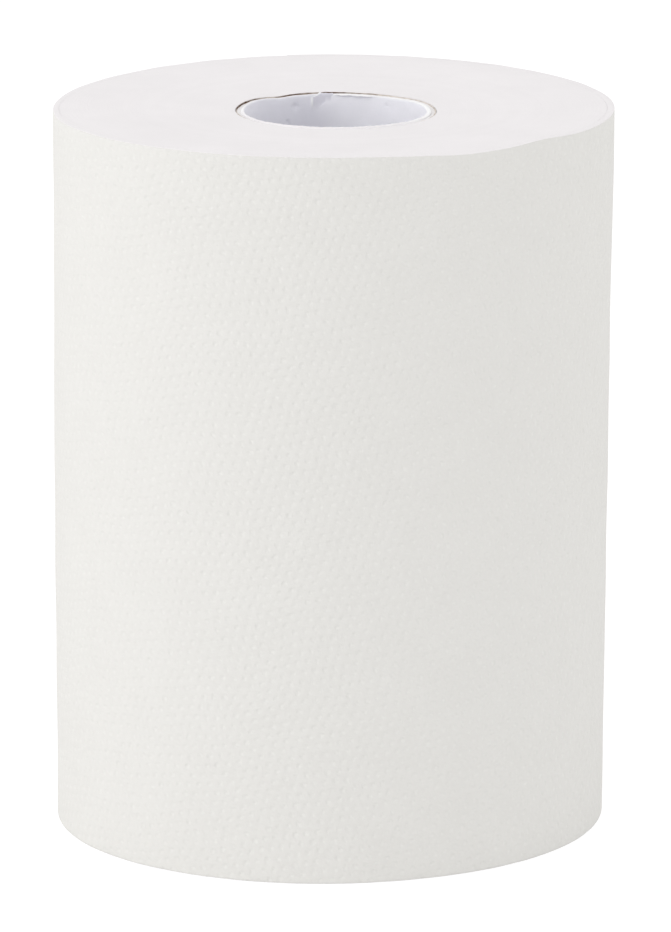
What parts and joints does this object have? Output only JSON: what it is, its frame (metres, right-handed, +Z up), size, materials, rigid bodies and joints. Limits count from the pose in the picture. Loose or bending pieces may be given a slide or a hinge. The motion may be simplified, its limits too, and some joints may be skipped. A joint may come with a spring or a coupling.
{
  "type": "paper towel roll",
  "caption": "Roll of white embossed paper towel wound on an open paperboard core, standing on its end; the core slides over a holder's spindle.",
  "frame": {"origin": "on the core's axis, at the level that the roll stands on", "axes": "+Z up along the core, -Y towards the side that the picture shows"},
  "size_m": [0.1382, 0.1382, 0.18],
  "materials": {
    "tissue_paper": "matt, embossed",
    "core_board": "matt"
  },
  "bodies": {
    "root": {"towel_web": "tissue_paper", "core_tube": "core_board"}
  },
  "joints": []
}
